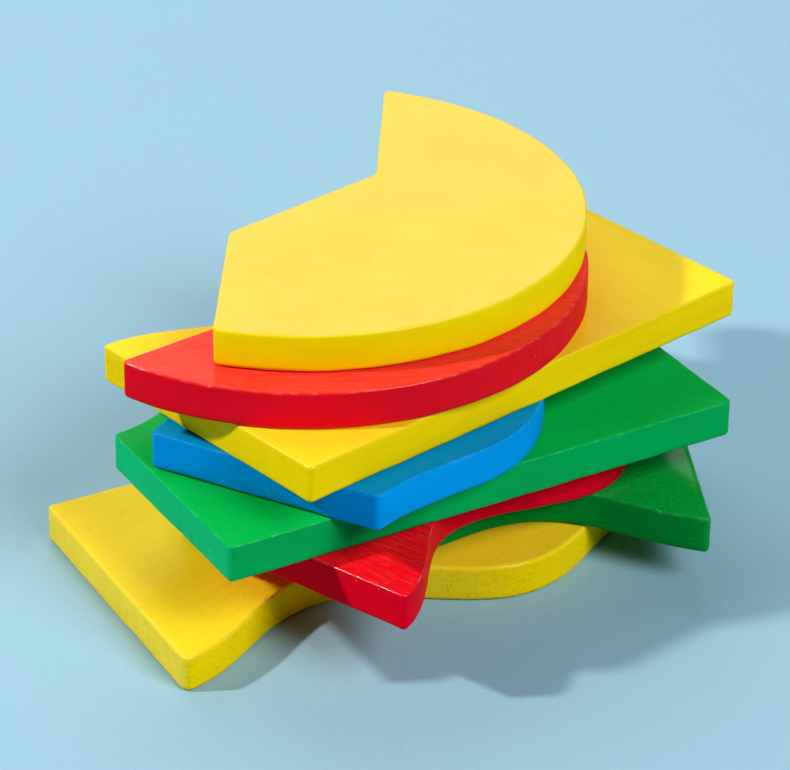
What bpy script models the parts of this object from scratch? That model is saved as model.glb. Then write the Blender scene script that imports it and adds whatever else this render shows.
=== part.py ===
"""Wooden shape puzzle: eight painted boards, stacked loosely as in a child's pile.

Two boards make one whole shape. Six boards are halves of a square, cut apart along a wave.
The two on top are halves of a disc, cut apart along a stepped line.
Metres, +Z up. The pile stands on z = 0, centred on the origin.
"""

import math

import bpy

# Every board
BOARD_THICKNESS = 0.0077
REST_GAP = 0.0003  # air between one board and the next
EDGE_ROUND = 0.0006  # radius along the upper and lower edges
CORNER_CUT = 0.0015  # how far from a sharp corner the outline starts to turn
TURNING_ROOM = 1.25  # smallest radius of a corner, in edge rounds
SLIVER_SHARE = 0.85  # a straight piece cut shorter by more than this share is left out

# The square that two wave boards make
SQUARE_SIDE = 0.1118  # along the saw cut
SQUARE_REACH = 0.0555  # from the middle of the cut to the far side
WAVE_STEPS = 30  # straight pieces in one wave
WAVE_DEPTH = 0.0146  # crest to hollow
WAVE_LENGTH = 0.0752  # crest to crest

# The disc that two stepped boards make
DISC_DIAMETER = 0.1110
STEP_OFFSET = 0.0139  # from the disc's centre to each of the cut's two parallel lines
ARC_STEPS = 40  # straight pieces in the half disc's rim

LEVEL = BOARD_THICKNESS + REST_GAP

PAINTS = dict(
    yellow=(0.87, 0.60, 0.02),
    green=(0.0, 0.33, 0.09),
    red=(0.62, 0.01, 0.012),
    blue=(0.0, 0.20, 0.58),
)
PAINT_ROUGHNESS = 0.4

# From the bottom up. The middle is the whole square's in plan, in square sides. Turn is in
# degrees, and over means turned over. The rest is how this square and its cut differ from the
# usual one, with corners in times CORNER_CUT: at the cut's end, the two far corners, the cut's
# start.
HALF_SQUARES = (
    dict(
        name="half_square_yellow_bottom",
        colour="yellow",
        middle=(0.0179, -0.2522),
        turn=28.8,
        over=False,
        side=SQUARE_SIDE,
        reach=SQUARE_REACH,
        depth=1.068 * WAVE_DEPTH,
        length=1.0213 * WAVE_LENGTH,
        shift=0.0,
        corners=(1, 1, 1, 2.5),
    ),
    dict(
        name="half_square_green_lower",
        colour="green",
        middle=(0.0528, -0.1860),
        turn=185.2,
        over=True,
        side=0.9231 * SQUARE_SIDE,
        reach=0.9009 * SQUARE_REACH,
        depth=WAVE_DEPTH,
        length=WAVE_LENGTH,
        shift=0.0,
        corners=(1, 1, 1, 1),
    ),
    dict(
        name="half_square_red",
        colour="red",
        middle=(0.2057, -0.1789),
        turn=52.6,
        over=False,
        side=0.9007 * SQUARE_SIDE,
        reach=0.8198 * SQUARE_REACH,
        depth=0.945 * WAVE_DEPTH,
        length=0.9069 * WAVE_LENGTH,
        shift=0.0,
        corners=(1, 1, 1, 2),
    ),
    dict(
        name="half_square_green_upper",
        colour="green",
        middle=(-0.1261, 0.1395),
        turn=210.4,
        over=False,
        side=1.008 * SQUARE_SIDE,
        reach=SQUARE_REACH,
        depth=WAVE_DEPTH,
        length=WAVE_LENGTH,
        shift=0.0,
        corners=(1, 1, 1, 1),
    ),
    dict(
        name="half_square_blue",
        colour="blue",
        middle=(0.2165, -0.0742),
        turn=242.4,
        over=True,
        side=SQUARE_SIDE,
        reach=SQUARE_REACH,
        depth=0.829 * WAVE_DEPTH,
        length=1.0731 * WAVE_LENGTH,
        shift=-0.029 * WAVE_LENGTH,
        corners=(1, 1, 1, 1),
    ),
    dict(
        name="half_square_yellow_upper",
        colour="yellow",
        middle=(-0.1333, 0.1825),
        turn=41.9,
        over=True,
        side=1.008 * SQUARE_SIDE,
        reach=SQUARE_REACH,
        depth=0.856 * WAVE_DEPTH,
        length=WAVE_LENGTH,
        shift=0.0,
        corners=(1, 1, 1, 0.7),
    ),
)

# The shift moves the cut sideways from the disc's centre.
HALF_DISCS = (
    dict(
        name="half_disc_red",
        colour="red",
        middle=(-0.1941, 0.0948),
        turn=-51.7,
        over=True,
        shift=-0.065 * STEP_OFFSET,
        corners=(0.8, 1, 1, 1),
    ),
    dict(
        name="half_disc_yellow_top",
        colour="yellow",
        middle=(-0.1959, 0.1619),
        turn=-2.0,
        over=False,
        shift=-0.058 * STEP_OFFSET,
        corners=(1, 1, 1, 1),
    ),
)


def wave_height(x, board):
    """Height of the saw cut over the square's middle line, at x from its middle."""
    turns = (x - board["shift"]) / board["length"]
    return -board["depth"] / 2 * math.sin(2 * math.pi * turns)


def half_square_sides(board):
    """The outline as runs of points: one run for each side, corners shared."""
    half = board["side"] / 2
    steps = math.ceil(WAVE_STEPS * board["side"] / board["length"])
    along = [-half + board["side"] * i / steps for i in range(steps + 1)]
    wave = [(x, wave_height(x, board)) for x in along]
    far_right = (half, board["reach"])
    far_left = (-half, board["reach"])
    return [wave, [wave[-1], far_right], [far_right, far_left], [far_left, wave[0]]]


def half_disc_sides(board):
    """The rim from the lower end of the cut round to its upper end, then the cut back."""
    radius = DISC_DIAMETER / 2
    upper_x = board["shift"] + STEP_OFFSET
    lower_x = board["shift"] - STEP_OFFSET
    start = -math.acos(lower_x / radius)
    end = math.acos(upper_x / radius)
    rim = []
    for i in range(ARC_STEPS + 1):
        angle = start + (end - start) * i / ARC_STEPS
        rim.append((radius * math.cos(angle), radius * math.sin(angle)))
    inner = (upper_x, STEP_OFFSET)
    outer = (lower_x, -STEP_OFFSET)
    return [rim, [rim[-1], inner], [inner, outer], [outer, rim[0]]]


def trimmed(run, distance):
    """The run of points without its first stretch of this length, nor a sliver left of one."""
    points = list(run)
    while len(points) > 2 and math.dist(points[0], points[1]) <= distance:
        distance -= math.dist(points[0], points[1])
        points.pop(0)
    share = distance / math.dist(points[0], points[1])
    (x0, y0), (x1, y1) = points[:2]
    start = (x0 + (x1 - x0) * share, y0 + (y1 - y0) * share)
    if share > SLIVER_SHARE and len(points) > 2:
        points.pop(0)
    return [start] + points[1:]


def corner_cut(before, corner, after, times):
    """How far from the corner its round starts: enough for the edge rounding to follow it.

    The round's smallest radius is the cut times sin^2 over cos of half the corner's angle.
    """
    angle = abs(direction(corner, before) - direction(corner, after)) % (2 * math.pi)
    half = min(angle, 2 * math.pi - angle) / 2
    least = TURNING_ROOM * EDGE_ROUND * math.cos(half) / math.sin(half) ** 2
    return max(CORNER_CUT * times, least)


def direction(start, end):
    return math.atan2(end[1] - start[1], end[0] - start[0])


def corner_arc(start, corner, end, steps=5):
    """A round corner from start to end, tangent to both sides: points of a quadratic curve."""
    arc = []
    for i in range(1, steps):
        t = i / steps
        arc.append(
            tuple(
                (1 - t) ** 2 * a + 2 * t * (1 - t) * c + t**2 * b
                for a, c, b in zip(start, corner, end)
            )
        )
    return arc


def rounded_outline(sides, board):
    """One closed outline from its sides, with each corner between two sides rounded."""
    outline = []
    cuts = []
    for index, side in enumerate(sides):
        following = sides[(index + 1) % len(sides)]
        cuts.append(corner_cut(side[-2], side[-1], following[1], board["corners"][index]))
    for index, side in enumerate(sides):
        following = sides[(index + 1) % len(sides)]
        before = trimmed(side[::-1], cuts[index])[::-1]
        after = trimmed(following, cuts[index])
        outline.extend(trimmed(before, cuts[index - 1]))
        outline.extend(corner_arc(before[-1], side[-1], after[0]))
    return outline


def turned_over(outline, board):
    """The outline as it lies in plan before its turn: mirrored where the board is turned over."""
    if not board["over"]:
        return outline
    return [(x, -y) for x, y in reversed(outline)]


def square_middle(board):
    """Middle of the whole shape in plan, in metres."""
    return tuple(SQUARE_SIDE * part for part in board["middle"])


def placed(outline, board):
    """The outline turned and moved to its place in plan."""
    angle = math.radians(board["turn"])
    cos, sin = math.cos(angle), math.sin(angle)
    x0, y0 = square_middle(board)
    return [(x0 + cos * x - sin * y, y0 + sin * x + cos * y) for x, y in outline]


def paint(colour):
    """A plain satin paint of this colour."""
    name = colour + " paint"
    material = bpy.data.materials.get(name) or bpy.data.materials.new(name)
    material.use_nodes = True
    shader = material.node_tree.nodes["Principled BSDF"]
    shader.inputs["Base Color"].default_value = (*PAINTS[colour], 1.0)
    shader.inputs["Roughness"].default_value = PAINT_ROUGHNESS
    shader.inputs["Metallic"].default_value = 0.0
    return material


def board_object(board, outline, level, centre, collection):
    """One board: the outline drawn as a flat curve and given its thickness and round edges."""
    curve = bpy.data.curves.new(board["name"], "CURVE")
    curve.dimensions = "2D"
    curve.fill_mode = "BOTH"
    curve.bevel_depth = EDGE_ROUND
    curve.bevel_resolution = 1
    curve.extrude = BOARD_THICKNESS / 2 - EDGE_ROUND
    curve.offset = -EDGE_ROUND
    spline = curve.splines.new("POLY")
    spline.points.add(len(outline) - 1)
    for point, (x, y) in zip(spline.points, outline):
        point.co = (x, y, 0.0, 1.0)
    spline.use_cyclic_u = True
    obj = bpy.data.objects.new(board["name"], curve)
    x0, y0 = square_middle(board)
    obj.location = (x0 - centre[0], y0 - centre[1], level * LEVEL + BOARD_THICKNESS / 2)
    obj.rotation_euler = (0.0, 0.0, math.radians(board["turn"]))
    curve.materials.append(paint(board["colour"]))
    weld = obj.modifiers.new("weld caps", "WELD")
    weld.merge_threshold = 0.00001
    collection.objects.link(obj)
    return obj


def footprint_centre(outlines):
    """Middle of the box round every board in plan."""
    xs = [x for outline in outlines for x, y in outline]
    ys = [y for outline in outlines for x, y in outline]
    return (min(xs) + max(xs)) / 2, (min(ys) + max(ys)) / 2


def main():
    for obj in list(bpy.data.objects):
        bpy.data.objects.remove(obj, do_unlink=True)
    collection = bpy.data.collections.new("wooden_shape_puzzle")
    bpy.context.scene.collection.children.link(collection)
    sides = [(board, half_square_sides(board)) for board in HALF_SQUARES]
    sides += [(board, half_disc_sides(board)) for board in HALF_DISCS]
    boards = [(board, turned_over(rounded_outline(run, board), board)) for board, run in sides]
    centre = footprint_centre([placed(outline, board) for board, outline in boards])
    for level, (board, outline) in enumerate(boards):
        board_object(board, outline, level, centre, collection)


main()
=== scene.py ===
import math

import bpy
import numpy as np
from mathutils import Matrix, Vector


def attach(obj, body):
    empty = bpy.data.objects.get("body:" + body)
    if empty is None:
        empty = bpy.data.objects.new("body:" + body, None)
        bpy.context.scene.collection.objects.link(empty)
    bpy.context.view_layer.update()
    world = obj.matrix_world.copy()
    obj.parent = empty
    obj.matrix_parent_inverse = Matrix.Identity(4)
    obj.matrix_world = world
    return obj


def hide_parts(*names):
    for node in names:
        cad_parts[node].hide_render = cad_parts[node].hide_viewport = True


# A pile of painted wooden puzzle boards, in metres, +Z up. Two boards make one whole shape:
# a square sawn apart along a wave, or a disc sawn apart along a step.

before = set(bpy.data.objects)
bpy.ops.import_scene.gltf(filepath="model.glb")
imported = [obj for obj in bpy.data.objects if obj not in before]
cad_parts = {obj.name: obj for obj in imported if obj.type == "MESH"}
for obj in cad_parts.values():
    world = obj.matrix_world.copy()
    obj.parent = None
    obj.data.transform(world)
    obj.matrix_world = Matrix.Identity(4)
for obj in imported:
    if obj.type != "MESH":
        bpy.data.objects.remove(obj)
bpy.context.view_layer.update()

# Sizes that all boards share
wood = dict(
    thickness=0.0077,
    restGap=0.0003,  # from one board to the next in the solid model
    filledGap=0.0002,  # how much of that gap the boards shown here fill
    squareSide=0.1118,  # along the saw cut
    squareReach=0.0555,  # from the middle of the cut to the far side
    waveDepth=0.0146,  # crest to hollow
    waveLength=0.0752,  # crest to crest
    discDiameter=0.1110,
    stepOffset=0.0139,  # from the disc's middle to each of the cut's two parallel lines
    cornerCut=0.0015,  # how far from a corner its round starts
    smallestTurn=0.00075,  # radius that a corner turns with at least
    edgeRound=0.00058,  # radius of the upper edges
    edgeVaries=0.22,  # by this share of itself along the board
    lowerRound=0.00105,
    lowerVaries=0.2,
    wobble=0.00006,  # how far a side bends in and out, and how far it twists from bottom to top
    nickWidth=0.0003,
    nickDepth=0.0002,
    squarePole=0.56,  # where a face's triangles meet, in reaches from the cut
    discPole=0.45,  # the same, in radii from the disc's middle
    discPoleDrop=0.004,  # and in metres towards the cut's lower end
    spacing=0.00036,  # between points along the outline
)
level = wood["thickness"] + wood["restGap"]

# How many ripples go round the outline where a board is uneven
ripples = dict(
    upperEdge=(5, 9, 14, 23, 41),
    lowerEdge=(4, 11, 17, 29),
    bend=(6, 10, 15, 22, 31, 47),
    twist=(7, 13, 19, 37),
)

# Points on each stretch of an outline before it is divided evenly
stretchPoints = dict(straight=80, wave=600, rim=700, corner=22)


# Outlines: closed runs of points (x, y), anticlockwise


def straight(start, end):
    return np.linspace(start, end, stretchPoints["straight"])


def waveCut(board):
    # y is minus half the depth times the sine of 2 pi (x - shift) / length
    x = np.linspace(-board["side"] / 2, board["side"] / 2, stretchPoints["wave"])
    y = -board["depth"] / 2 * np.sin(2 * np.pi * (x - board["shift"]) / board["length"])
    return np.column_stack([x, y])


def halfSquareSides(board):
    # the cut, then the three straight sides round to its start
    wave = waveCut(board)
    farRight = (board["side"] / 2, board["reach"])
    farLeft = (-board["side"] / 2, board["reach"])
    return [wave, straight(wave[-1], farRight), straight(farRight, farLeft), straight(farLeft, wave[0])]


def halfDiscSides(board):
    # the rim is an arc about the disc's middle, from the cut's lower end round to its upper end
    radius = wood["discDiameter"] / 2
    step = wood["stepOffset"]
    upper, lower = board["shift"] + step, board["shift"] - step
    start, end = -math.acos(lower / radius), math.acos(upper / radius)
    angle = np.linspace(start, end, stretchPoints["rim"])
    rim = radius * np.column_stack([np.cos(angle), np.sin(angle)])
    inner, outer = (upper, step), (lower, -step)
    return [rim, straight(rim[-1], inner), straight(inner, outer), straight(outer, rim[0])]


def runLength(points):
    # distance along the run at each of its points
    return np.concatenate([[0], np.cumsum(np.linalg.norm(np.diff(points, axis=0), axis=1))])


def alongRun(points, distances):
    # the places on the run at these distances from its start
    walked = runLength(points)
    return np.column_stack([np.interp(distances, walked, points[:, axis]) for axis in (0, 1)])


def shortened(points, fromStart, fromEnd):
    # the run without these lengths at its two ends, in as many points
    total = runLength(points)[-1]
    return alongRun(points, np.linspace(fromStart, total - fromEnd, len(points)))


def roundCorner(start, corner, end):
    # quadratic curve: (1-t)^2 start + 2t(1-t) corner + t^2 end
    t = np.linspace(0, 1, stretchPoints["corner"])[1:-1, None]
    return (1 - t) ** 2 * start + 2 * t * (1 - t) * corner + t**2 * end


def cornerCut(before, corner, after, times):
    # a round's smallest radius is its cut times sin^2 / cos of half the corner's angle
    legs = np.array([before, after]) - corner
    cosine = legs[0] @ legs[1] / np.prod(np.linalg.norm(legs, axis=1))
    half = math.acos(cosine) / 2
    least = wood["smallestTurn"] * math.cos(half) / math.sin(half) ** 2
    return max(wood["cornerCut"] * times, least)


def closedOutline(sides, corners):
    # each side loses its two corners' cuts, the rounds go between, and the points are spread evenly
    following = sides[1:] + sides[:1]
    ends = zip(sides, following, corners)
    cuts = [cornerCut(side[-2], side[-1], later[1], times) for side, later, times in ends]
    runs = [shortened(side, cuts[i - 1], cuts[i]) for i, side in enumerate(sides)]
    pieces = []
    for i, run in enumerate(runs):
        pieces += [run, roundCorner(run[-1], sides[i][-1], runs[(i + 1) % len(runs)][0])]
    loop = np.vstack(pieces + [runs[0][:1]])
    total = runLength(loop)[-1]
    count = int(total / wood["spacing"])
    return alongRun(loop, np.linspace(0, total, count, endpoint=False))


def halfSquare(board):
    pole = np.array([0, wood["squarePole"] * board["reach"]])
    return closedOutline(halfSquareSides(board), board["corners"]), pole


def halfDisc(board):
    pole = np.array([wood["discPole"] * wood["discDiameter"] / 2, -wood["discPoleDrop"]])
    return closedOutline(halfDiscSides(board), board["corners"]), pole


def turned(points, degrees):
    # x' = x cos a - y sin a, y' = x sin a + y cos a
    angle = math.radians(degrees)
    cos, sin = math.cos(angle), math.sin(angle)
    return points @ np.array([[cos, sin], [-sin, cos]])


def outwards(loop):
    # each point's unit normal: its neighbours' chord, turned a quarter turn clockwise
    chord = np.roll(loop, -1, 0) - np.roll(loop, 1, 0)
    normal = np.column_stack([chord[:, 1], -chord[:, 0]])
    return normal / np.linalg.norm(normal, axis=1, keepdims=True)


# A board's surface


def ripple(count, turns, seed):
    # sum of sines with a whole number of waves round the outline, scaled to lie within -1 to 1
    chance = np.random.default_rng(seed)
    angle = np.linspace(0, 2 * np.pi, count, endpoint=False)
    phases = chance.uniform(0, 2 * np.pi, len(turns))
    sizes = chance.uniform(0.5, 1.0, len(turns))
    total = sum(size * np.sin(times * angle + phase) for times, phase, size in zip(turns, phases, sizes))
    return total / sizes.sum()


def nicks(count, places):
    # narrow bell curves where something knocked the edge, each at its share of the way round:
    # e to the power of minus (distance / width) squared
    share = np.arange(count) / count
    away = np.abs(share[:, None] - np.array(places)[None, :])
    away = np.minimum(away, 1 - away) * count * wood["spacing"]
    return np.exp(-((away / wood["nickWidth"]) ** 2)).max(axis=1)


faceShares = np.array([0.22, 0.45, 0.68, 0.86, 0.95, 0.985])  # face rings, as shares of the way out
roundSteps = np.linspace(0, np.pi / 2, 7)  # angles round an edge
sideSteps = np.linspace(0, 1, 11)[1:-1]  # shares of the way up the side


def boardMesh(board, loop, pole, bottom, top):
    # The section runs from the middle of the lower face out, round the lower edge, up the side,
    # round the upper edge and back in. Round edge: inset r(1 - cos a), height r sin a.
    count = len(loop)
    normal = outwards(loop)
    seed = board["seed"]
    wear = nicks(count, board["nicks"])
    upperRipple = ripple(count, ripples["upperEdge"], seed)
    lowerRipple = ripple(count, ripples["lowerEdge"], seed + 1)
    unnicked = wood["edgeRound"] * board["roundness"] * (1 + wood["edgeVaries"] * upperRipple)
    upperRound = unnicked + wood["nickDepth"] * wear
    lowerRound = wood["lowerRound"] * (1 + wood["lowerVaries"] * lowerRipple)
    bend = wood["wobble"] * ripple(count, ripples["bend"], seed + 2)
    twist = wood["wobble"] * ripple(count, ripples["twist"], seed + 3)

    def ring(inset, height, share=1.0):
        # the outline, moved in by the inset and out by bend plus twist times rise, which runs from
        # -0.5 at the bottom to 0.5 at the top, then drawn to the pole: 1 leaves it, 0 is the pole
        rise = (height - bottom) / (top - bottom) - 0.5
        shift = (bend + twist * rise)[:, None] * normal
        points = pole + share * (loop - normal * inset[:, None] + shift - pole)
        return np.column_stack([points, height])

    flat = np.ones(count)
    rows, edge, side = [], [], []

    def add(points, edgeAmount, sideAmount):
        # edge is sin 2a on the upper round, and side is cos^2 a on both rounds and 1 between them
        rows.append(points)
        edge.append(edgeAmount)
        side.append(sideAmount)

    for share in faceShares:
        add(ring(lowerRound, bottom * flat, share), 0.0, 0.0)
    for angle in roundSteps[::-1]:
        inset, height = lowerRound * (1 - math.cos(angle)), lowerRound * (1 - math.sin(angle))
        add(ring(inset, bottom + height), 0.0, math.cos(angle) ** 2)
    for share in sideSteps:
        low, high = bottom + lowerRound, top - upperRound
        add(ring(0 * flat, low + share * (high - low)), 0.0, 1.0)
    for angle in roundSteps:
        inset, height = upperRound * (1 - math.cos(angle)), upperRound * (1 - math.sin(angle))
        add(ring(inset, top - height), math.sin(2 * angle), math.cos(angle) ** 2)
    for share in faceShares[::-1]:
        add(ring(unnicked, top * flat, share), 0.0, 0.0)

    grid = np.vstack(rows)
    poles = np.array([[*pole, bottom], [*pole, top]])
    # what the paint reads at each point: rows of the grid, then nothing at the two poles
    atPoles = np.zeros(len(poles))
    edges = np.concatenate([np.repeat(edge, count), atPoles])
    sides = np.concatenate([np.repeat(side, count), atPoles])
    nicked = np.concatenate([np.tile(wear, len(rows)), atPoles]) * edges
    # how squarely the side faces the way that end grain does: cos^2 of the angle between them. It places
    # the end grain and the sides' own copy of the paint, which is partly painted light.
    facing = math.radians(board["endFacing"])
    end = np.clip(normal @ (math.cos(facing), math.sin(facing)), 0, 1) ** 2
    ended = np.concatenate([np.tile(end, len(rows)), atPoles]) * sides
    values = dict(edge=edges, side=sides, nick=nicked, end=ended)
    return np.vstack([grid, poles]), quadsAndFans(len(rows), count), values


def quadsAndFans(rows, count):
    # quads between neighbouring rings, and a fan of triangles round each pole
    here = np.arange(count)
    ahead = (here + 1) % count
    starts = np.arange(rows - 1)[:, None] * count
    corners = [starts + here, starts + ahead, starts + count + ahead, starts + count + here]
    quads = np.stack(corners, axis=-1)
    last = (rows - 1) * count
    lower = np.column_stack([ahead, here, np.full(count, rows * count)])
    upper = np.column_stack([last + here, last + ahead, np.full(count, rows * count + 1)])
    return quads.reshape(-1, 4), np.vstack([lower, upper])


def newPiece(name, points, faces, values):
    # an object from arrays of points and faces, with one amount at each point for every value
    quads, triangles = faces
    mesh = bpy.data.meshes.new(name)
    corners = np.concatenate([quads.ravel(), triangles.ravel()]).astype(np.int32)
    sizes = np.concatenate([np.full(len(quads), 4), np.full(len(triangles), 3)])
    starts = np.concatenate([[0], np.cumsum(sizes)[:-1]]).astype(np.int32)
    mesh.vertices.add(len(points))
    mesh.vertices.foreach_set("co", points.astype(np.float32).ravel())
    mesh.loops.add(len(corners))
    mesh.loops.foreach_set("vertex_index", corners)
    mesh.polygons.add(len(sizes))
    mesh.polygons.foreach_set("loop_start", starts)
    mesh.update(calc_edges=True)
    mesh.validate()
    mesh.shade_smooth()
    for key, amount in values.items():
        layer = mesh.attributes.new(key, "FLOAT", "POINT")
        layer.data.foreach_set("value", amount.astype(np.float32))
    piece = bpy.data.objects.new(name, mesh)
    bpy.context.scene.collection.objects.link(piece)
    return piece


# Materials: an expression on values adds its Math nodes


class Value:
    def __init__(self, nodes, socket):
        self.nodes, self.socket = nodes, socket

    def maths(self, operation, other, swapped=False):
        first, second = (other, self) if swapped else (self, other)
        return self.nodes.add("ShaderNodeMath", dict(operation=operation), {0: first, 1: second})

    def __add__(self, other):
        return self.maths("ADD", other)

    def __sub__(self, other):
        return self.maths("SUBTRACT", other)

    def __rsub__(self, other):
        return self.maths("SUBTRACT", other, swapped=True)

    def __mul__(self, other):
        return self.maths("MULTIPLY", other)

    __radd__ = __add__
    __rmul__ = __mul__


class Nodes:
    def __init__(self, owner):
        owner.use_nodes = True
        self.tree = owner.node_tree

    def make(self, kind, settings, inputs):
        made = self.tree.nodes.new(kind)
        for key, value in settings.items():
            setattr(made, key, value)
        self.set(made, inputs)
        return made

    def add(self, kind, settings, inputs, output=0):
        return Value(self, self.make(kind, settings, inputs).outputs[output])

    def set(self, made, inputs):
        for key, value in inputs.items():
            if isinstance(value, Value):
                self.tree.links.new(value.socket, made.inputs[key])
            else:
                made.inputs[key].default_value = value

    def shade(self, inputs):
        self.set(self.tree.nodes["Principled BSDF"], inputs)

    def attribute(self, name):
        return self.add("ShaderNodeAttribute", dict(attribute_name=name), {}, "Fac")

    def placed(self, size, turn=0.0):
        # object coordinates, turned about Z and measured in these sizes
        spot = self.add("ShaderNodeTexCoord", {}, {}, "Object")
        turnAndSize = {"Vector": spot, "Rotation": (0, 0, math.radians(turn)), "Scale": size}
        return self.add("ShaderNodeMapping", dict(vector_type="TEXTURE"), turnAndSize)

    def noise(self, pattern, turn=0.0):
        inputs = {"Vector": self.placed(pattern["size"], turn), "Scale": 1.0, "Detail": pattern["detail"]}
        inputs["Roughness"] = pattern.get("roughness", 0.5)
        inputs["Distortion"] = pattern.get("distortion", 0.0)
        return self.add("ShaderNodeTexNoise", {}, inputs, "Fac")

    def between(self, value, low, high, start=0.0, end=1.0):
        # smooth step from start at low to end at high
        limits = {"Value": value, "From Min": low, "From Max": high, "To Min": start, "To Max": end}
        return self.add("ShaderNodeMapRange", dict(interpolation_type="SMOOTHSTEP"), limits)

    def marks(self, pattern, turn=0.0):
        return self.between(self.noise(pattern, turn), *pattern["limits"])

    def specks(self, size, radius, share, core=0.4, soft=0.02):
        # one dot in this share of a cell pattern's cells, at full strength within its core, a share
        # of its radius. A cell's lot is its random colour's red, and near the limit a dot is fainter.
        cells = self.make("ShaderNodeTexVoronoi", {}, {"Vector": self.placed((size,) * 3), "Scale": 1.0})
        distance, lot = [Value(self, cells.outputs[key]) for key in ("Distance", "Color")]
        near = self.between(distance, radius / size, core * radius / size)
        lot = self.add("ShaderNodeSeparateColor", {}, {"Color": lot})
        return near * self.between(lot, 1 - share, 1 + soft - share)

    def mixed(self, share, first, second):
        # sockets 6 and 7 take the two colours, and output 2 gives the mixed one
        return self.add("ShaderNodeMix", dict(data_type="RGBA"), {0: share, 6: first, 7: second}, 2)

    def bump(self, height, distance, strength=1.0):
        inputs = {"Strength": strength, "Distance": distance, "Height": height}
        return self.add("ShaderNodeBump", {}, inputs, "Normal")


# Each paint's tones. The pale one also paints the sheen streaks and the highlight along the edges.
paints = dict(
    yellow=dict(
        deep=(0.560, 0.300, 0.001, 1),
        pale=(0.980, 0.860, 0.300, 1),
        chip=(0.700, 0.560, 0.300, 1),
        shine=(1.0, 0.8, 0.15, 1),
    ),
    green=dict(
        deep=(0.000, 0.150, 0.025, 1),
        pale=(0.120, 0.660, 0.340, 1),
        chip=(0.450, 0.600, 0.480, 1),
        shine=(0.1, 1.0, 0.5, 1),
    ),
    red=dict(
        deep=(0.340, 0.001, 0.003, 1),
        pale=(0.960, 0.330, 0.300, 1),
        chip=(0.800, 0.420, 0.400, 1),
        shine=(1.0, 0.2, 0.2, 1),
    ),
    blue=dict(
        deep=(0.000, 0.120, 0.380, 1),
        pale=(0.150, 0.480, 0.850, 1),
        chip=(0.400, 0.600, 0.750, 1),
        shine=(0.1, 0.6, 1.0, 1),
    ),
)

# Noise patterns in the paint. The limits are where the noise starts to mark and where the mark
# is full, and after them, where given, what the mark starts from and ends at.
patterns = dict(
    furrows=dict(
        size=(0.00040, 0.012, 0.0030), detail=3, roughness=0.6, distortion=0.3, limits=(0.52, 0.34)
    ),
    furrowPatches=dict(
        size=(0.0021, 0.030, 0.0060), detail=2, distortion=0.6, limits=(0.35, 0.62, 0.35, 1.0)
    ),
    pores=dict(size=(0.00030, 0.0019, 0.0020), detail=1, limits=(0.33, 0.25)),
    # fine pale streaks along the grain on the faces: a painted sheen
    sheenStreaks=dict(
        size=(0.00042, 0.0045, 0.0030), detail=2, roughness=0.6, distortion=1.2, limits=(0.50, 0.72)
    ),
    layers=dict(
        size=(0.016, 0.016, 0.00050), detail=3, roughness=0.65, distortion=0.2, limits=(0.50, 0.32)
    ),
    strokes=dict(size=(0.00038, 0.00038, 0.0045), detail=2, limits=(0.52, 0.34)),
    pits=dict(size=(0.00050, 0.00050, 0.00062), detail=2, limits=(0.42, 0.32)),
    # pale patches along the upper edges: partly thinned paint, partly a painted highlight
    rubbingAndHighlight=dict(size=(0.0022, 0.0022, 0.0022), detail=3, limits=(0.46, 0.64)),
    blotches=dict(size=(0.024, 0.024, 0.008), detail=2, limits=(0.35, 0.65, 0.0, 0.10)),
    peel=dict(size=(0.0008, 0.0008, 0.0008), detail=2),
    swell=dict(size=(0.0075, 0.0075, 0.0075), detail=1),
)

# How much each mark does, on every board alike
finish = dict(
    grainDarkness=0.30,
    sideDarkness=0.28,
    pitsOnEnds=0.5,
    wornAndHighlightPaleness=0.5,
    nickLimits=(0.35, 0.8),
    nickPaleness=0.35,
    chipPaleness=0.6,
    chipSpacing=0.0021,
    chipRadius=0.00017,
    chipsOnFaces=0.25,
    chipsOnEdges=0.6,
    swellHeight=0.5,  # heights and depths are in times the board's relief
    grainDepth=0.8,
    sideDepth=0.7,
    pitDepth=0.5,
    roughness=0.40,
    grainRoughness=0.14,
    sideRoughness=0.1,
    wornRoughness=0.1,
    peelRoughness=0.08,
    coatRoughness=0.16,
    specularLevel=0.015,
)


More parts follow.
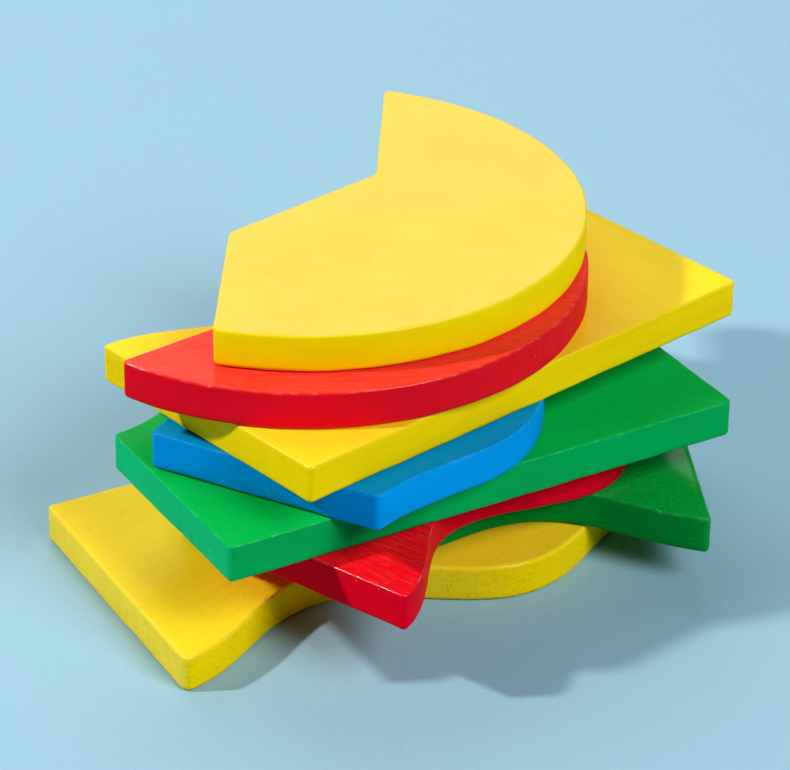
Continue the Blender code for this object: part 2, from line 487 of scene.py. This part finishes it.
def paintedWood(name, board):
    # Paint over wood: the grain shows through as fine furrows and short pores on the faces,
    # layers run along the sides, end grain has strokes and pits, and the paint thins on the edges.
    # Pale streaks on the faces are a painted sheen, and the pale line along the upper edges is partly
    # thinned paint and partly a painted highlight.
    material = bpy.data.materials.new(name)
    nodes = Nodes(material)
    paint = paints[board["paint"]]
    turn = board["turn"] + board["grainTurn"]
    side, end, edge, nick = [nodes.attribute(key) for key in ("side", "end", "edge", "nick")]
    face = 1 - side

    furrows = nodes.marks(patterns["furrows"], turn) * nodes.marks(patterns["furrowPatches"], turn)
    pores = nodes.marks(patterns["pores"], turn)
    # pale streaks along the grain, used only in the colour: a painted sheen
    sheenStreaks = nodes.marks(patterns["sheenStreaks"], turn) * face * board["sheenStreaks"]
    peel = nodes.noise(patterns["peel"])
    grainMark = face * (furrows * board["grain"] + pores * board["pores"])
    pitMark = side * nodes.marks(patterns["pits"]) * board["pits"]
    endMark = end * nodes.marks(patterns["strokes"]) * board["strokes"] + pitMark * finish["pitsOnEnds"]
    sideMark = side * nodes.marks(patterns["layers"]) * board["layers"] + endMark

    # faces take a lit copy of the paint, painted light, and the yellow faces' raised blue is a painted
    # sheen
    colour = nodes.mixed(side, board["litTopColour"], board["sideColour"])
    # sides facing endFacing take their own copy of the paint: partly end grain, partly painted light
    colour = nodes.mixed(end, colour, board["endGrainAndLightingColour"])
    darker = grainMark * finish["grainDarkness"] + sideMark * finish["sideDarkness"]
    colour = nodes.mixed(darker + nodes.marks(patterns["blotches"]), colour, paint["deep"])
    colour = nodes.mixed(sheenStreaks, colour, paint["pale"])
    # pale line along the upper edges: partly thinned paint, partly a painted highlight
    wornAndHighlit = edge * nodes.marks(patterns["rubbingAndHighlight"]) * board["rubbedAndHighlit"]
    colour = nodes.mixed(wornAndHighlit * finish["wornAndHighlightPaleness"], colour, paint["pale"])
    chips = nodes.specks(finish["chipSpacing"], finish["chipRadius"], board["chips"])
    chips = chips * (finish["chipsOnFaces"] * face + end + finish["chipsOnEdges"] * edge)
    colour = nodes.mixed(chips * finish["chipPaleness"], colour, paint["chip"])
    nicked = nodes.between(nick, *finish["nickLimits"])
    colour = nodes.mixed(nicked * finish["nickPaleness"], colour, paint["pale"])

    height = peel * (face * board["peel"] + side * board["sidePeel"])
    height = height + nodes.noise(patterns["swell"]) * finish["swellHeight"]
    height = height - grainMark * finish["grainDepth"] - sideMark * finish["sideDepth"]
    height = height - pitMark * finish["pitDepth"]
    roughness = finish["roughness"] + grainMark * finish["grainRoughness"]
    roughness = roughness + sideMark * finish["sideRoughness"] + wornAndHighlit * finish["wornRoughness"]
    nodes.shade(
        {
            "Base Color": colour,
            "Roughness": roughness + peel * finish["peelRoughness"],
            "Normal": nodes.bump(height, board["relief"]),
            "Coat Weight": face * board["sheen"] + edge * board["edgeSheen"],
            "Coat Roughness": finish["coatRoughness"],
            "Specular IOR Level": finish["specularLevel"],
            "Specular Tint": paint["shine"],
        }
    )
    return material


# The boards, from the bottom up. The middle is the whole shape's in plan, turn is in degrees and
# over means turned over. Corners are in times cornerCut, as the cut and its sides run, roundness
# is in times edgeRound, and nicks are at these shares of the way round. Sides that face endFacing,
# in degrees, show end grain and their own copy of the paint, which is partly painted light, and
# grainTurn turns the faces' grain from the board's own turn.
# The values from grain on are the strengths of the marks, but chips is the share of places that
# have one. The pale streaks on the faces are a painted sheen, and the pale edge lines are partly
# thinned paint and partly a painted highlight.
# Relief is the height of the bumps, and sheen and edgeSheen are the gloss on faces and edges.
# The face colour is a lit copy of the paint, painted light, and its blue on yellow boards a painted
# sheen.

boards = []


def planned(board, shape):
    loop, pole = shape(board)
    if board["over"]:
        loop, pole = loop[::-1] * (1, -1), pole * (1, -1)
    board["plan"] = turned(loop, board["turn"]) + board["middle"]
    board["pole"] = turned(pole, board["turn"]) + board["middle"]
    boards.append(board)


yellowBottom = dict(
    node="half_square_yellow_bottom",
    body="yellow_bottom_board",
    paint="yellow",
    litTopColour=(1.000, 0.720, 0.018, 1),
    sideColour=(1.000, 0.720, 0.001, 1),
    endGrainAndLightingColour=(0.945, 0.735, 0.052, 1),
    middle=(0.0020, -0.0282),
    turn=28.8,
    over=False,
    side=wood["squareSide"],
    reach=wood["squareReach"],
    depth=wood["waveDepth"] + 0.0010,
    length=wood["waveLength"] + 0.0016,
    shift=0.0,
    corners=(1, 1, 1, 1.6),
    roundness=1.3,
    nicks=(0.07, 0.31, 0.62, 0.88),
    endFacing=208.8,
    grainTurn=-68,
    grain=0.3,
    pores=0.6,
    sheenStreaks=0.04,
    peel=0.3,
    sidePeel=0.45,
    layers=0.35,
    strokes=0.3,
    pits=0.8,
    chips=0.1,
    rubbedAndHighlit=0.25,
    relief=0.000090,
    sheen=0.08,
    edgeSheen=0.20,
    seed=11,
)
planned(yellowBottom, halfSquare)

greenLower = dict(
    node="half_square_green_lower",
    body="green_lower_board",
    paint="green",
    litTopColour=(0.001, 0.385, 0.040, 1),
    sideColour=(0.001, 0.295, 0.036, 1),
    endGrainAndLightingColour=(0.001, 0.270, 0.034, 1),
    middle=(0.0059, -0.0208),
    turn=185.2,
    over=True,
    side=wood["squareSide"] - 0.0086,
    reach=wood["squareReach"] - 0.0055,
    depth=wood["waveDepth"],
    length=wood["waveLength"],
    shift=0.0,
    corners=(1, 1, 1, 1),
    roundness=1.0,
    nicks=(0.04, 0.22, 0.5, 0.97),
    endFacing=5.0,
    grainTurn=90,
    grain=0.25,
    pores=0.7,
    sheenStreaks=0.05,
    peel=1.7,
    sidePeel=0.16,
    layers=0.3,
    strokes=0.3,
    pits=0.4,
    chips=0.1,
    rubbedAndHighlit=0.35,
    relief=0.000160,
    sheen=0.35,
    edgeSheen=0.35,
    seed=23,
)
planned(greenLower, halfSquare)

redWave = dict(
    node="half_square_red",
    body="red_wave_board",
    paint="red",
    litTopColour=(0.980, 0.004, 0.012, 1),
    sideColour=(0.830, 0.001, 0.016, 1),
    endGrainAndLightingColour=(0.860, 0.001, 0.016, 1),
    middle=(0.0230, -0.0200),
    turn=52.6,
    over=False,
    side=wood["squareSide"] - 0.0111,
    reach=wood["squareReach"] - 0.0100,
    depth=wood["waveDepth"] - 0.0008,
    length=wood["waveLength"] - 0.0070,
    shift=0.0,
    corners=(1, 1, 1, 0.8),
    roundness=0.55,
    nicks=(0.02, 0.12, 0.9, 0.96),
    endFacing=232.6,
    grainTurn=0,
    grain=0.8,
    pores=0.3,
    sheenStreaks=0.09,
    peel=0.3,
    sidePeel=0.16,
    layers=0.3,
    strokes=0.3,
    pits=0.3,
    chips=0.1,
    rubbedAndHighlit=0.3,
    relief=0.000120,
    sheen=0.05,
    edgeSheen=1.0,
    seed=37,
)
planned(redWave, halfSquare)

greenUpper = dict(
    node="half_square_green_upper",
    body="green_upper_board",
    paint="green",
    litTopColour=(0.001, 0.500, 0.070, 1),
    sideColour=(0.001, 0.410, 0.088, 1),
    endGrainAndLightingColour=(0.001, 0.520, 0.190, 1),
    middle=(-0.0141, 0.0156),
    turn=210.4,
    over=False,
    side=wood["squareSide"] + 0.0009,
    reach=wood["squareReach"],
    depth=wood["waveDepth"],
    length=wood["waveLength"],
    shift=0.0,
    corners=(1, 1, 1, 1),
    roundness=0.65,
    nicks=(0.36, 0.515),
    endFacing=210.4,
    grainTurn=28,
    grain=0.35,
    pores=0.3,
    sheenStreaks=0.04,
    peel=0.16,
    sidePeel=0.16,
    layers=0.2,
    strokes=0.35,
    pits=0.5,
    chips=0.5,
    rubbedAndHighlit=0.35,
    relief=0.000050,
    sheen=0.05,
    edgeSheen=0.15,
    seed=41,
)
planned(greenUpper, halfSquare)

blueWave = dict(
    node="half_square_blue",
    body="blue_board",
    paint="blue",
    litTopColour=(0.000, 0.320, 0.740, 1),
    sideColour=(0.000, 0.323, 0.810, 1),
    endGrainAndLightingColour=(0.000, 0.296, 0.840, 1),
    middle=(0.0242, -0.0083),
    turn=242.4,
    over=True,
    side=wood["squareSide"],
    reach=wood["squareReach"],
    depth=wood["waveDepth"] - 0.0025,
    length=wood["waveLength"] + 0.0055,
    shift=-0.0022,
    corners=(1, 1, 1, 1),
    roundness=0.75,
    nicks=(0.3, 0.9),
    endFacing=242.4,
    grainTurn=0,
    grain=0.3,
    pores=0.3,
    sheenStreaks=0.02,
    peel=0.16,
    sidePeel=0.16,
    layers=0.2,
    strokes=0.3,
    pits=0.2,
    chips=0.15,
    rubbedAndHighlit=0.35,
    relief=0.000040,
    sheen=0.02,
    edgeSheen=0.12,
    seed=53,
)
planned(blueWave, halfSquare)

yellowUpper = dict(
    node="half_square_yellow_upper",
    body="yellow_upper_board",
    paint="yellow",
    litTopColour=(0.980, 0.705, 0.016, 1),
    sideColour=(1.000, 0.700, 0.001, 1),
    endGrainAndLightingColour=(1.000, 0.715, 0.001, 1),
    middle=(-0.0149, 0.0204),
    turn=41.9,
    over=True,
    side=wood["squareSide"] + 0.0009,
    reach=wood["squareReach"],
    depth=wood["waveDepth"] - 0.0021,
    length=wood["waveLength"],
    shift=0.0,
    corners=(1, 1, 1, 0.7),
    roundness=0.8,
    nicks=(0.15, 0.48, 0.7, 0.86),
    endFacing=221.9,
    grainTurn=0,
    grain=0.45,
    pores=0.3,
    sheenStreaks=0.06,
    peel=0.16,
    sidePeel=0.16,
    layers=0.5,
    strokes=0.3,
    pits=0.2,
    chips=0.05,
    rubbedAndHighlit=0.2,
    relief=0.000060,
    sheen=0.06,
    edgeSheen=0.9,
    seed=67,
)
planned(yellowUpper, halfSquare)

redDisc = dict(
    node="half_disc_red",
    body="red_disc_board",
    paint="red",
    litTopColour=(0.930, 0.042, 0.022, 1),
    sideColour=(0.850, 0.004, 0.018, 1),
    endGrainAndLightingColour=(0.850, 0.010, 0.016, 1),
    middle=(-0.0217, 0.0106),
    turn=-51.7,
    over=True,
    shift=-0.0009,
    corners=(0.8, 1, 1, 1),
    roundness=0.85,
    nicks=(0.08, 0.17, 0.22, 0.3, 0.42, 0.47),
    endFacing=-10.0,
    grainTurn=141.7,
    grain=0.6,
    pores=0.3,
    sheenStreaks=0.12,
    peel=0.16,
    sidePeel=0.16,
    layers=0.15,
    strokes=0.6,
    pits=0.2,
    chips=0.12,
    rubbedAndHighlit=0.3,
    relief=0.000050,
    sheen=0.16,
    edgeSheen=0.4,
    seed=71,
)
planned(redDisc, halfDisc)

yellowTop = dict(
    node="half_disc_yellow_top",
    body="yellow_top_board",
    paint="yellow",
    litTopColour=(0.880, 0.605, 0.052, 1),
    sideColour=(1.000, 0.780, 0.001, 1),
    endGrainAndLightingColour=(0.970, 0.740, 0.001, 1),
    middle=(-0.0219, 0.0181),
    turn=-2.0,
    over=False,
    shift=-0.0008,
    corners=(1, 1, 1, 1),
    roundness=0.8,
    nicks=(0.2, 0.55, 0.8),
    endFacing=0.0,
    grainTurn=92,
    grain=0.2,
    pores=1.3,
    sheenStreaks=0.03,
    peel=0.16,
    sidePeel=0.16,
    layers=0.15,
    strokes=0.2,
    pits=0.1,
    chips=0.05,
    rubbedAndHighlit=0.15,
    relief=0.000040,
    sheen=0.24,
    edgeSheen=0.06,
    seed=83,
)
planned(yellowTop, halfDisc)

everyPoint = np.vstack([board["plan"] for board in boards])
pileMiddle = (everyPoint.min(axis=0) + everyPoint.max(axis=0)) / 2  # goes to the origin

for number, board in enumerate(boards):
    bottom = number * level - (wood["filledGap"] / 2 if number else 0)
    top = number * level + wood["thickness"] + wood["filledGap"] / 2
    shape = boardMesh(board, board["plan"] - pileMiddle, board["pole"] - pileMiddle, bottom, top)
    piece = newPiece(board["node"] + "_board", *shape)
    piece.data.materials.append(paintedWood("painted_" + board["node"], board))
    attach(piece, board["body"])
    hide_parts(board["node"])
    board["paint"] + "_paint"
    print("board:", piece.name, len(piece.data.polygons), "faces")

# Camera: where the photograph was taken from, in the boards' plan
camera = dict(
    place=(-0.0072, -0.6416, 0.39443),
    down=28.869,  # degrees below level
    roll=-0.585,
    lens=169.04,
    sensorWidth=36,
    shift=(0.0185, -0.0459),
    farthest=20,
)


def addCamera():
    # ahead points this far below level, and right and upward are turned about it by the roll
    down, roll = math.radians(camera["down"]), math.radians(camera["roll"])
    ahead = Vector((0, math.cos(down), -math.sin(down)))
    above = Vector((0, math.sin(down), math.cos(down)))
    across = Vector((1, 0, 0))
    right = math.cos(roll) * across - math.sin(roll) * above
    upward = math.sin(roll) * across + math.cos(roll) * above
    optics = bpy.data.cameras.new("camera")
    optics.sensor_width = camera["sensorWidth"]
    optics.lens = camera["lens"]
    optics.shift_x, optics.shift_y = camera["shift"]
    optics.clip_end = camera["farthest"]
    stand = bpy.data.objects.new("camera", optics)
    place = Vector(camera["place"]) - Vector((*pileMiddle, 0))
    stand.matrix_world = Matrix.Translation(place) @ Matrix((right, upward, -ahead)).transposed().to_4x4()
    bpy.context.scene.collection.objects.link(stand)
    bpy.context.scene.camera = stand


addCamera()
print("camera placed")

# Floor: pale card with fine flecks and broad clouds a trace darker
floorCard = dict(
    colour=(0.301, 0.526, 0.666, 1),
    darkening=0.93,
    size=2.6,
    flecks=dict(size=(0.0009, 0.0009, 0.0009), detail=3, limits=(0.35, 0.7, 0.0, 0.5)),
    clouds=dict(size=(0.06, 0.06, 0.06), detail=2),
    cloudStrength=0.3,
    relief=0.0001,
    reliefStrength=0.4,
    roughness=0.85,
)


def addFloor():
    half = floorCard["size"] / 2
    corners = [(-half, -half, 0), (half, -half, 0), (half, half, 0), (-half, half, 0)]
    mesh = bpy.data.meshes.new("floor")
    mesh.from_pydata(corners, [], [(0, 1, 2, 3)])
    floor = bpy.data.objects.new("floor", mesh)
    bpy.context.scene.collection.objects.link(floor)
    material = bpy.data.materials.new("pale_card")
    nodes = Nodes(material)
    flecks = nodes.noise(floorCard["flecks"])
    clouds = nodes.noise(floorCard["clouds"])
    pale = floorCard["colour"]
    dark = tuple(floorCard["darkening"] * part for part in pale[:3]) + (1,)
    darker = nodes.between(flecks, *floorCard["flecks"]["limits"]) + clouds * floorCard["cloudStrength"]
    bump = nodes.bump(flecks, floorCard["relief"], floorCard["reliefStrength"])
    colour = nodes.mixed(darker, pale, dark)
    nodes.shade({"Base Color": colour, "Normal": bump, "Roughness": floorCard["roughness"]})
    mesh.materials.append(material)


# Lamps, all turned to the middle of the pile
aim = (0, 0, 0.03)
lamps = dict(
    key=dict(place=(-1.545, -0.2175, 1.2675), size=0.1125, power=30.6, colour=(1.0, 0.93, 0.85)),
    fill=dict(place=(1.14, -1.065, 1.44), size=0.975, power=35.0, colour=(0.96, 0.98, 0.99)),
    back=dict(place=(-0.35, 1.08, 0.95), size=1.3, power=12.3, colour=(0.94, 0.98, 1.0)),
)


def addLamp(name, settings):
    lamp = bpy.data.lights.new(name, "AREA")
    lamp.size = settings["size"]
    lamp.energy = settings["power"]
    lamp.color = settings["colour"]
    stand = bpy.data.objects.new(name, lamp)
    stand.location = settings["place"]
    stand.rotation_euler = (Vector(aim) - stand.location).to_track_quat("-Z", "Y").to_euler()
    bpy.context.scene.collection.objects.link(stand)


# Surroundings: a faint sky lights the pile, and the camera sees a plain pale blue past the floor
surroundings = dict(
    sky=dict(colour=(0.80, 0.93, 1.0, 1), strength=0.04),
    seen=dict(colour=(0.360, 0.620, 0.760, 1), strength=1.0),
)


def addSurroundings():
    world = bpy.data.worlds.new("studio")
    nodes = Nodes(world)
    nodes.tree.nodes.clear()
    parts = {}
    for key, light in surroundings.items():
        inputs = {"Color": light["colour"], "Strength": light["strength"]}
        parts[key] = nodes.add("ShaderNodeBackground", {}, inputs)
    seenByCamera = nodes.add("ShaderNodeLightPath", {}, {}, "Is Camera Ray")
    shown = nodes.add("ShaderNodeMixShader", {}, {0: seenByCamera, 1: parts["sky"], 2: parts["seen"]})
    nodes.make("ShaderNodeOutputWorld", {}, {"Surface": shown})
    bpy.context.scene.world = world


addFloor()
for lampName, settings in lamps.items():
    addLamp(lampName, settings)
addSurroundings()
bpy.context.scene.view_settings.view_transform = "Standard"
print("studio ready")
